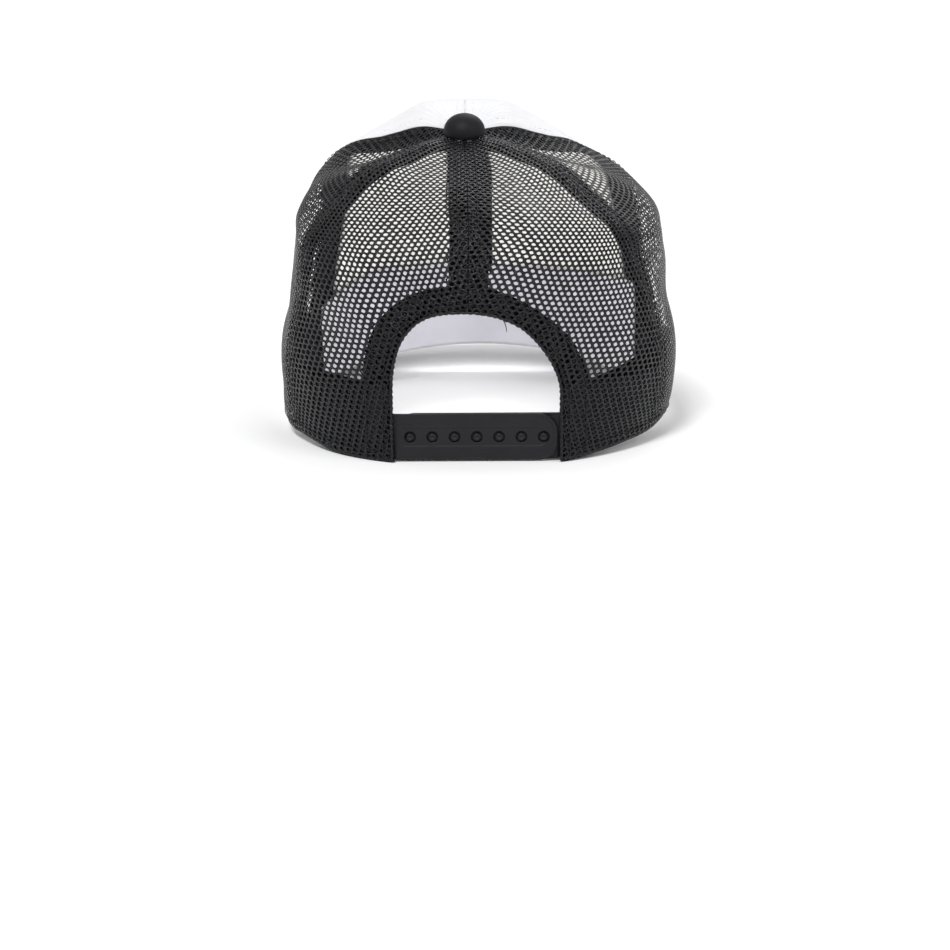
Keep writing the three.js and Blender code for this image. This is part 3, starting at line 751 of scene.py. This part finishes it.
for side, sign in SIDES:
    for name, start, end, grain in (("side", BACK_SEAM, FRONT_SEAM, -12.0), ("back", 0, BACK_SEAM, GRAIN)):
        gore = Gore(*((start, end) if sign > 0 else (-end, -start)))
        net_piece(f"turned_hem_{name}_{side}",
                  net(gore, sign * grain, TURNED_DEPTH, 0.235, keep=clear_of_arch, clamp=outside_arch, thick=0.16,
                      fine=False, phase=0.5, open_share=1.04), [f"{name}_{side}_net"])
arch_length = arc(arch_curve(ARCH_SIDE / 2, ARCH_TOP / 2))[-1]
turned_net("turned_arch", -37, 37, 52, in_arch_band, ["back_left_net", "back_right_net"],
           cut=(ARCH_SIDE + 2, arch_length), clamp=outside_arch, high=0.6)
for seam_name, seam in SEAMS[:5]:
    first = -1 if seam_name != "front_right" else 0.05
    last = 1 if seam_name != "front_left" else -0.05
    side = "right" if seam < 0 else "left"
    turned_net(f"turned_{seam_name}", seam - 27, seam + 27, 37 if seam > 0 else -37, in_band(seam, first, last),
               [f"{'side' if 'front' in seam_name else 'back'}_{side}_net"], cut=((last - first) * TAPE_HALF, None))

# ---- Tapes ----
TAPE_LOW, TAPE_HIGH, TAPE_THICK = 1.5, 0.985, 0.7
TAPE_INSIDE = 13.0  # how far the front tapes reach over the front, and a little less at the hem
FRONT_TAPE_HALF = 6.5  # of the tape on the front's centre seam


def tape_edge(seam, sign, extra=0.0):
    """A tape's edge as a function of t. Front tapes reach further over the front than over the net."""
    def edge(t):
        if seam == 180:
            half = FRONT_TAPE_HALF
        else:
            inside = TAPE_INSIDE * (0.78 + 0.22 * smooth(t, 0.25, 0.5))
            half = inside if seam * sign == FRONT_SEAM else band_half(t, seam)
        return seam + sign * np.minimum(np.abs(beside(seam, t, half + extra) - seam), 30)
    return edge


TAPE_ON = {"back_centre": ["back_left_net", "back_right_net"], "back_left": ["back_left_net", "side_left_net"],
           "back_right": ["back_right_net", "side_right_net"], "front_left": ["side_left_net", "front_left_cloth"],
           "front_right": ["side_right_net", "front_right_cloth"],
           "front_centre": ["front_left_cloth", "front_right_cloth"]}
for k, (seam_name, seam) in enumerate(SEAMS):
    at_front = seam_name == "front_centre"
    depth = 0.8 + 3 + 0.95 if at_front else TAPE_LOW + 0.12 * (k % 3)
    low_t = 0.47 if seam == 0 else 0.0
    layer(f"tape_{seam_name}", tape_edge(seam, -1), tape_edge(seam, 1),
          low_t, 0.9 if at_front else TAPE_HIGH, depth, TAPE_THICK, BLACK_TAPE, rows=90, columns=14,
          nodes=[f"seam_tape_{seam_name}"], slot="tape", rests_on=TAPE_ON[seam_name])


def along_arch(offset, count=120):
    """X and Z along the opening, offset mm outside its edge."""
    share = offset / ARCH_SIDE
    return arch_curve(offset, ARCH_TOP * share, count)


def arch_points(offset, depth, count=120):
    line = along_arch(offset, count)
    return surface(*rear_place(line[:, 0], line[:, 1]), depth)


tape_lines = np.linspace(0.1, ARCH_SIDE, 9)
slab("tape_arch", np.stack([arch_points(o, 1.5) for o in tape_lines]),
     np.stack([arch_points(o, 1.5 + TAPE_THICK) for o in tape_lines]), BLACK_TAPE, nodes=["arch_tape"], slot="tape",
     rests_on=["back_left_net", "back_right_net"])

# ---- White front, foam and sweatband ----
FACE, FOAM_THICK, FOAM_TOP = 0.8, 3.0, 0.93


def seam_valley(*seams):
    """Cloth sinks into its seams."""
    def puff(phi, t):
        out = 0.0
        for seam in seams:
            gap = np.abs(away(phi, t, seam))
            out = out - 0.5 * hump(gap, 0, 0.9) - 0.12 * hump(gap, 3.4, 0.8)
        return out + 0.12 * np.sin(phi * 1.1 + t * 31) * np.sin(t * 57 + phi * 0.45)
    return puff


def edge_gap(seam, offset):
    return lambda t: beside(seam, t, offset)


for side, sign in SIDES:
    middle, flank = 180.0 * sign, FRONT_SEAM * sign
    layer(f"front_{side}_cloth", edge_gap(flank, 0.2 * sign), edge_gap(middle, -0.04 * sign), 0, 0.992, 0.0, FACE,
          WHITE_CLOTH, rows=170, columns=110, puff=seam_valley(flank, middle), nodes=[f"front_{side}_panel"],
          slot="white_cloth", rests_on=[f"side_{side}_net", f"front_{side}_foam_pad"])
    beyond = tape_edge(flank, sign, 0.6)
    foam = layer(f"front_{side}_foam_pad", beyond, edge_gap(middle, -0.3 * sign), 0, FOAM_TOP, FACE + 0.35,
                 FOAM_THICK, FOAM, rows=60, columns=40, nodes=[f"front_{side}_foam"], slot="foam")

BAND_TOP = 0.24375  # t of the sweatband's top edge
BAND_THICK = 1.4
OPEN_EDGE = 22.8  # polar angle where the side sweatbands start, beside the opening
WHITE_FROM = 119.0  # polar angle where the front one starts, a little way into the side panels
HOLE_INSET, PEG_INSET = 2.8, 4.5  # depth of each strap half's sewn end


def wrapped(phi):
    return (phi + 180) % 360 - 180


def band_depth(phi, t):
    """Depth behind the strap's sewn ends, then behind the net, then behind the foam."""
    phi = wrapped(phi)
    turn = np.abs(phi)
    strap = np.where(phi > 0, HOLE_INSET, PEG_INSET) + 1.9
    flank = strap + (2.9 - strap) * smooth(turn, 34, 50)
    return flank + (6.1 - flank) * smooth(turn, 108, 120) + 0.25 * np.sin(phi / 3.7) * smooth(turn, 40, 60)


def band_top(phi):
    """The sweatband sits a little askew behind the net."""
    turn = wrapped(phi)
    askew = smooth(-turn, 30, 54) * (1 - smooth(-turn, 80, 115))
    return BAND_TOP + 0.059375 * askew - 0.009375 * smooth(turn, 44, 30)


def band_puff(phi, t):
    """The sweatband's top edge is stitched over, and its cloth ripples a little."""
    return 0.3 * hump(t / band_top(phi), 0.93, 0.05) + 0.15 * np.sin(phi / 2.1 + t * 40)


for name, start, end, look, slot, sewn_to in (
        ("left", OPEN_EDGE, WHITE_FROM - 0.2, BLACK_BAND, "sweatband_black", "side_left_net"),
        ("right", 0.2 - WHITE_FROM, -OPEN_EDGE, BLACK_BAND, "sweatband_black", "side_right_net"),
        ("front", WHITE_FROM, 360 - WHITE_FROM, SHADED_WHITE_BAND, "sweatband_white", "front_left_cloth")):
    layer(f"sweat_{name}", start, end, 0, band_top, band_depth, BAND_THICK, look, rows=40, columns=120,
          puff=band_puff, nodes=[f"sweatband_{name}"], slot=slot, rests_on=[sewn_to])


# ---- Rolled edges ----
def rolled(path, radius):
    """Points and quads of a lumpy roll of net along a path."""
    line, at = spaced(path, 0.55)
    return tube(line, radius * (1 + 0.22 * np.sin(2 * np.pi * at / 2.6) + rng.normal(0, 0.09, len(at))))


for seam_name, seam in SEAMS[:5]:
    t = np.linspace(0.0, 0.985, 260)
    t = t[t >= (0.447 if seam == 0 else 0.0)]
    depth, radius = (0.62, 0.42) if seam else (0.85, 0.3)
    # the net ends at the front seams, so only its own side has a roll
    lines = [rolled(surface(beside(seam, t, offset), t, depth), radius)
             for offset in (-0.5, 0.5) if seam * offset != FRONT_SEAM / 2]
    piece(f"seam_roll_{seam_name}", *merged(lines), NET, slot="net")
piece("opening_roll", *rolled(arch_points(0.0, 0.75, 300), 0.72), NET, slot="net")
piece("opening_roll_inner", *rolled(arch_points(0.35, 1.75, 300), 0.6), NET, slot="net")
for side, sign in SIDES:
    hem = surface(np.linspace(22.3, FRONT_SEAM - 0.4, 300) * sign, 0.0, 0.8) + [0, 0, 0.85]
    piece(f"hem_roll_{side}", *rolled(hem, 0.82), NET, slot="net")


# ---- Stitches ----
def run(phi, t, depth):
    """A line on the crown with its outward normals."""
    return surface(phi, t, depth), -inward(phi, t)


def seam_rows(seam, offsets, depth, low=0.02, high=0.95):
    t = np.linspace(low, high, 200)
    return [run(beside(seam, t, offset), t, depth) for offset in offsets]


black, white = [], []
for _, seam in SEAMS[:3]:
    black += seam_rows(seam, (-4.2, 4.2), 0.05, low=0.5 if seam == 0 else 0.02, high=0.93)
for _, sign in SIDES:
    black += seam_rows(FRONT_SEAM * sign, (-3.6 * sign,), 0.05)
for offset in (3.2, 9.6):
    black.append(run(*rear_place(*along_arch(offset).T), 0.05))
for _, sign in SIDES:
    black.append(run(np.linspace(24, FRONT_SEAM - 1, 200) * sign, np.full(200, 0.03), 0.05))
    white.append(run(np.linspace(FRONT_SEAM + 1, 179.6, 120) * sign, np.full(120, 0.075), -0.02))
for _, sign in SIDES:
    white += seam_rows(FRONT_SEAM * sign, (3.4 * sign,), 0.1)
white += seam_rows(180, (-3.4, 3.4), 0.1, high=0.965)
piece("seam_thread", *stitches(black, radius=0.22), BLACK_THREAD, slot="tape")


def tail(name, root, reach, bend, depth):
    """A loose end of thread from a place on the rear, given as x and z in mm."""
    s = np.linspace(0, 1, 24)
    start = surface(*rear_place(np.array([root[0]]), np.array([root[1]])), depth)[0]
    path = start + np.stack([reach[0] * s + bend * np.sin(np.pi * s), -0.6 * s * (1 - s), reach[1] * s], 1)
    piece(name, *tube(path, 0.27 * (1 - 0.4 * s), sides=6, up=(0, 1, 0)), BLACK_THREAD, slot="tape")


tail("thread_tail_arch", (-11.5, 62.6), (-2.9, -7.2), -0.8, 1.2)
tail("thread_tail_hem", (35.6, 1.6), (-1.4, -1.3), 0.3, 0.3)
piece("front_thread", *stitches(white, radius=0.15, lift=-0.04), WHITE_THREAD, slot="white_cloth")

# ---- Visor ----
VISOR_LENGTH, VISOR_HALF, VISOR_WAIST, VISOR_TAIL, VISOR_TURN = 70.0, 90.0, 75.0, 24.0, 118.0
VISOR_CORNER = 0.74  # where the visor's ends start to round in
VISOR_ROWS = 5.0 + 6.4 * np.arange(8)  # distances of the stitch rows from the edge
SKIN_TOP, SKIN = 2.1, 0.8
BOARD_HALF = 1.0  # half the board's thickness


def visor_plan(u, v, trim=SKIN_TOP):
    """Plan of the visor and its length there: u from 0 at the crown to 1 at the edge, v from -1 to 1 across.
    trim draws the edge in."""
    phi = 180 - (180 - FRONT_SEAM) * v
    r, phi, turn = opening_radius(phi) + 0.5, np.radians(phi), np.radians(VISOR_TURN * v)
    reach = np.where(np.cos(turn) > 0, HALF_LENGTH + VISOR_LENGTH - VISOR_WAIST, VISOR_TAIL) - trim
    inner = np.stack([r * np.sin(phi), r * np.cos(phi)], -1)
    outer = np.stack([(VISOR_HALF - trim) * np.sin(turn), -VISOR_WAIST - reach * np.cos(turn)], -1)
    corner = np.clip((np.abs(v) - VISOR_CORNER) / (1 - VISOR_CORNER), 0, 1)
    outer = inner + (outer - inner) * np.maximum(np.sqrt(1 - 0.98 * corner ** 2), 0.12)[..., None]
    return inner + (outer - inner) * u[..., None], np.linalg.norm(outer - inner, axis=-1)


def lifted(plan, height):
    """Points at a height in mm above the visor's middle surface."""
    return np.concatenate([plan, (visor_surface(plan[..., 0], plan[..., 1]) + height)[..., None]], -1)


def visor_skin(name, way, node):
    """A cover whose edge rolls down round the board's, with its stitch rows pressed in."""
    v, u = np.linspace(-1, 1, 150)[None], np.linspace(0, 1, 110)[:, None]

    def sheet(radius):
        plan, length = visor_plan(u, v)
        press = sum(0.28 * hump((1 - u) * length, row, 1.1) for row in VISOR_ROWS)
        parts = [lifted(plan, way * (radius - press))]
        for angle in np.radians([12, 25, 38, 52, 66, 80, 88]):
            edge, _ = visor_plan(np.ones_like(v), v, SKIN_TOP - radius * np.sin(angle))
            parts.append(lifted(edge, way * radius * np.cos(angle)))
        return np.concatenate(parts)

    slab(name, sheet(SKIN_TOP), sheet(SKIN_TOP - SKIN), WHITE_CLOTH, nodes=[node], slot="white_cloth",
         rests_on=["visor_board_core"])


plan, _ = visor_plan(np.linspace(0, 1, 40)[:, None], np.linspace(-1, 1, 120)[None])
slab("visor_board_core", lifted(plan, BOARD_HALF), lifted(plan, -BOARD_HALF), BOARD, nodes=["visor_board"],
     slot="board")
visor_skin("visor_top_skin", 1, "visor_top_cover")
visor_skin("visor_under_skin", -1, "visor_under_cover")

visor_paths = []
for way in (1, -1):
    for row in VISOR_ROWS:
        v = np.linspace(-1, 1, 400)
        v = v[visor_plan(v, v)[1] > row + 2.5]
        plan, _ = visor_plan(1 - row / visor_plan(v, v)[1], v)
        visor_paths.append((lifted(plan, way * (SKIN_TOP - 0.25)), np.tile([0, 0, float(way)], (len(v), 1))))
piece("visor_thread", *stitches(visor_paths), WHITE_THREAD, slot="white_cloth")

# ---- Button ----
APEX = soften(np.array([0.0, 0.0, 130.2]))
TILT = np.radians(14)


def turned(name, profile, look, node, slot, sides=48):
    """A lathed piece on the button's axis, from (radius, height) pairs going once round its section."""
    profile = np.array(profile, float)
    c, s = (part[0, :, 0] for part in circle(sides))
    r, h = profile[:, :1], profile[:, 1:]
    ring = np.stack([r * c, r * s, np.broadcast_to(h, (len(profile), sides))], -1).reshape(-1, 3)
    tilt = np.array([[1, 0, 0], [0, np.cos(TILT), np.sin(TILT)], [0, -np.sin(TILT), np.cos(TILT)]])
    points = ring @ tilt.T + APEX
    # points on the axis become one, and the quads there triangles
    _, first, back = np.unique(np.round(points, 4), axis=0, return_index=True, return_inverse=True)
    quads = back.ravel()[grid_quads(len(profile), sides, wrap=True)]
    whole = np.array([len(set(q)) == 4 for q in quads])
    thin = [list(dict.fromkeys(q)) for q in quads[~whole]]
    piece(name, points[first], quads[whole], look, nodes=[node], slot=slot, flat=ring[first, :2],
          triangles=[q for q in thin if len(q) == 3])


def bowl(radius, height, base, first, count, power=1.0):
    """A rounded section, from its rim at the angle first up to the axis."""
    angles = np.linspace(first, np.pi / 2, count)[:-1]
    return [(radius * np.cos(a) ** power, base + height * np.sin(a)) for a in angles] + [(0.0, base + height)]


COVER, COVER_HEIGHT, COVER_BASE, COVER_WALL = 9.3, 8.45, -0.3, 0.8
COVER_LIP = COVER - 2.2  # radius that its cloth is tucked in to
inside = bowl(COVER - COVER_WALL, COVER_HEIGHT - COVER_WALL, COVER_BASE, 0, 16)[::-1]
cover = [(COVER_LIP, COVER_BASE + 0.15), (COVER - 0.8, COVER_BASE - 0.15), (COVER - 0.15, COVER_BASE + 0.1)]
cover += bowl(COVER, COVER_HEIGHT - 0.55, COVER_BASE + 0.55, 0, 16, 0.92) + inside[:-3]
cover += [(COVER_LIP, COVER_BASE + 0.6), (COVER_LIP, COVER_BASE + 0.15)]
turned("button_cloth_cover", cover, BUTTON_CLOTH, "button_cover", "button_cloth")
shell = bowl(8.4, 5.5, 1.75, 0.12, 12)
turned("button_metal_shell", shell + bowl(7.9, 5.0, 1.75, 0.12, 12)[::-1] + shell[:1], METAL, "button_shell",
       "bright_metal")
turned("button_metal_back", [(0, -3.2), (7.4, -3.2), (7.9, -3.0), (8.0, -2.7), (7.8, -2.4), (2.4, -2.3), (1.75, -2.0),
                             (1.7, 5.6), (0, 5.7)], METAL, "button_back", "bright_metal")

# ---- Snap strap ----
PITCH, PEGS = 9.5, 7
END_RADIUS, CHANNEL, CHANNEL_DEPTH = 8.0, 3.9, 0.34  # a half's end, and half the width and depth of its channel
EDGE_RADIUS = 0.28
SEWN_FROM, SEWN_TO = 22.9, 30.4  # polar angles that a half is sewn in between
GROOVES = ((1.3, 0.24, 0.24), (3.1, 0.22, 0.20), (4.3, 0.22, 0.20))  # distance in, width and depth
(STRAP_END, rear_face, STRAP_LOW), (STRAP_ROOT, HOLE_FACE, STRAP_HIGH) = (np.array(v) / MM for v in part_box("hole_strap"))
STRAP_THICK = HOLE_FACE - rear_face
PEG_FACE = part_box("peg_strap")[0][1] / MM + STRAP_THICK
STRAP_MIDDLE, STRAP_HALF = (STRAP_LOW + STRAP_HIGH) / 2, (STRAP_HIGH - STRAP_LOW) / 2


def rounded(d):
    """How far a face has dropped at d mm from its rounded edge."""
    return EDGE_RADIUS - np.sqrt(np.maximum(EDGE_RADIUS ** 2 - np.maximum(EDGE_RADIUS - d, 0) ** 2, 0))


def strap(face, sign, inset):
    """Front and rear grids of a strap half with its sewn end. sign is 1 for the half that comes from +X."""
    fine = np.array([0, 0.06, 0.14, 0.26, 0.42])
    z = np.concatenate([fine - STRAP_HALF, np.arange(0.7 - STRAP_HALF, STRAP_HALF - 0.65, 0.31),
                        STRAP_HALF - fine[::-1]])[:, None]
    corner = np.maximum(np.abs(z) - (STRAP_HALF - END_RADIUS), 0)
    end = STRAP_END + END_RADIUS - np.sqrt(np.maximum(END_RADIUS ** 2 - corner ** 2, 0))
    length = STRAP_ROOT - STRAP_END
    off = np.concatenate([fine, np.arange(0.75, length, 0.36), [length]])[None]
    x = end + off - (end - STRAP_END) * smooth(off, 2, 24)
    # distances in from the outline, and from the recessed channel's outline
    d = np.minimum(END_RADIUS - np.hypot(np.maximum(STRAP_END + END_RADIUS - x, 0), corner), STRAP_HALF - np.abs(z))
    into = CHANNEL - np.hypot(np.maximum(STRAP_END + 4.2 + CHANNEL - x, 0), z)
    dip = CHANNEL_DEPTH * smooth(into, -0.25, 0.25) * (1 - smooth(x, 31.0, 32.2))
    dip = dip + sum(deep * hump(d, place, wide) for place, wide, deep in GROOVES) * (1 - smooth(x, 32.2, 33.4))
    height = np.broadcast_to(z + STRAP_MIDDLE, x.shape)
    phi, t = np.broadcast_arrays(np.linspace(SEWN_FROM, SEWN_TO, 26)[None], (z + STRAP_MIDDLE) / 144.0)
    lip = rounded(STRAP_HALF - np.abs(z))
    faces = []
    for y, depth in ((face - dip - rounded(d), inset + lip),
                     (face - STRAP_THICK + rounded(d), inset + STRAP_THICK - lip)):
        grid = np.concatenate([np.stack([x, y, height], -1), surface(phi, t, depth)], 1)
        faces.append(grid * [sign, 1, 1])
    return faces


def lathe_y(profile, x, z, sides=36):
    """Points and quads of a closed turned shape on an axis along Y, from (radius, y) pairs."""
    profile = np.array(profile, float)
    c, s = (part[0, :, 0] for part in circle(sides))
    ring = np.stack([x + profile[:, :1] * c, np.broadcast_to(profile[:, 1:], (len(profile), sides)),
                     z + profile[:, :1] * s], -1)
    return ring.reshape(-1, 3), bar_quads(len(profile), sides)


def strap_half(name, node, face, sign, inset, section, operation):
    """A half of the strap, with holes cut or pegs joined on. section is their (radius, y) pairs."""
    half = slab(name, *strap(face, sign, inset), PLASTIC, slot="strap_plastic", body=None)
    places = (np.arange(PEGS) - (PEGS - 1) / 2) * PITCH
    tool = piece("tool", *merged([lathe_y(section, x, STRAP_MIDDLE) for x in places]), PLASTIC, body=None)
    change = half.modifiers.new("carve", "BOOLEAN")
    change.operation, change.solver, change.object = operation, "EXACT", tool
    shaped = bpy.data.meshes.new_from_object(half.evaluated_get(bpy.context.evaluated_depsgraph_get()))
    half.modifiers.clear()
    half.data = shaped
    bpy.data.objects.remove(tool)
    for polygon in shaped.polygons:
        polygon.use_smooth = True
    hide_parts(node, f"{node}_anchor")
    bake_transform(half)


back_y, front_y = HOLE_FACE - STRAP_THICK, HOLE_FACE - CHANNEL_DEPTH
strap_half("strap_with_holes", "hole_strap", HOLE_FACE, 1, HOLE_INSET, [
    (2.75, back_y - 0.5), (2.75, back_y - 0.02), (2.35, back_y + 0.22), (2.35, front_y - 0.25),
    (2.62, front_y + 0.02), (2.62, front_y + 1.2)], "DIFFERENCE")
strap_half("strap_with_pegs", "peg_strap", PEG_FACE, -1, PEG_INSET, [(r, PEG_FACE + y) for r, y in (
    (1.3, -0.75), (1.3, 0.9), (1.5, 1.15), (1.65, 1.45), (1.6, 1.75), (1.35, 1.95), (0.9, 2.0), (0.62, 1.95),
    (0.5, 1.72), (0.2, 1.66))], "UNION")

# ---- Floor, light and camera ----
bpy.ops.mesh.primitive_plane_add(size=24.0, location=(0, 0, 0))
floor = bpy.context.object
floor.name = "floor"
floor.data.materials.append(Look("paper", (0.93, 0.93, 0.935), 0.9, specular=0.1).material)

world = bpy.data.worlds.new("studio")
bpy.context.scene.world = world
world.use_nodes = True
sky = world.node_tree.nodes["Background"].inputs
sky["Color"].default_value, sky["Strength"].default_value = (1.0, 1.0, 1.0, 1), 0.6


def lamp(name, kind, place, aim, power, size):
    """A lamp aimed at a point. size is a sun's width in degrees, or a panel's width and height in metres."""
    light = bpy.data.lights.new(name, kind)
    light.energy = power
    if kind == "SUN":
        light.angle = np.radians(size)
    else:
        light.shape = "ELLIPSE"
        light.size, light.size_y = size
    body = bpy.data.objects.new(name, light)
    bpy.context.scene.collection.objects.link(body)
    body.location = place
    body.rotation_euler = (Vector(aim) - Vector(place)).to_track_quat("-Z", "Y").to_euler()
    return body


lamp("key", "SUN", (0.4, 1.0, 1.6), (0, 0, 0.07), 2.0, 16)
lamp("fill", "SUN", (-1.2, 0.8, 1.0), (0, 0, 0.07), 0.6, 30)
lamp("front", "SUN", (-0.3, -1.2, 1.0), (0, 0, 0.07), 0.5, 30)
for name, place, aim, power, size in (
        ("inside", (0, 0.035, 0.066), (0, -0.09, 0.07), 0.125, (0.07, 0.07)),
        ("under_visor", (0, -0.104, 0.011), (0, -0.17, 0.007), 0.006, (0.09, 0.008))):
    lamp(name, "AREA", place, aim, power, size).visible_camera = False

IMAGE = 950.0
FOCAL = 3042.0  # in image pixels
AIM = np.array([0, 86.3, 0]) * MM  # seen at AIM_X, AIM_Y
AIM_X, AIM_Y = 477.0, 461.0
AZIMUTH, ELEVATION, ROLL, RANGE = (np.radians(180.6), np.radians(13.2), np.radians(0.4), 1.3)
back = np.array([np.sin(AZIMUTH) * np.cos(ELEVATION), -np.cos(AZIMUTH) * np.cos(ELEVATION), np.sin(ELEVATION)])
right = np.array([np.cos(AZIMUTH), np.sin(AZIMUTH), 0.0])
up = np.cross(back, right)
right, up = right * np.cos(ROLL) - up * np.sin(ROLL), right * np.sin(ROLL) + up * np.cos(ROLL)
place = AIM + back * RANGE
back = back + (right * (AIM_X - IMAGE / 2) + up * (IMAGE / 2 - AIM_Y)) / FOCAL
back /= np.linalg.norm(back)
right = right - back * (right @ back)
right /= np.linalg.norm(right)
up = np.cross(back, right)
lens = bpy.data.cameras.new("camera")
camera = bpy.data.objects.new("camera", lens)
bpy.context.scene.collection.objects.link(camera)
camera.matrix_world = Matrix([[right[k], up[k], back[k], place[k]] for k in range(3)] + [[0, 0, 0, 1]])
lens.sensor_width = 36.0
lens.lens = 36.0 * FOCAL / IMAGE
lens.clip_start, lens.clip_end = 0.05, 40.0
bpy.context.scene.camera = camera
bpy.context.scene.view_settings.view_transform = "Standard"
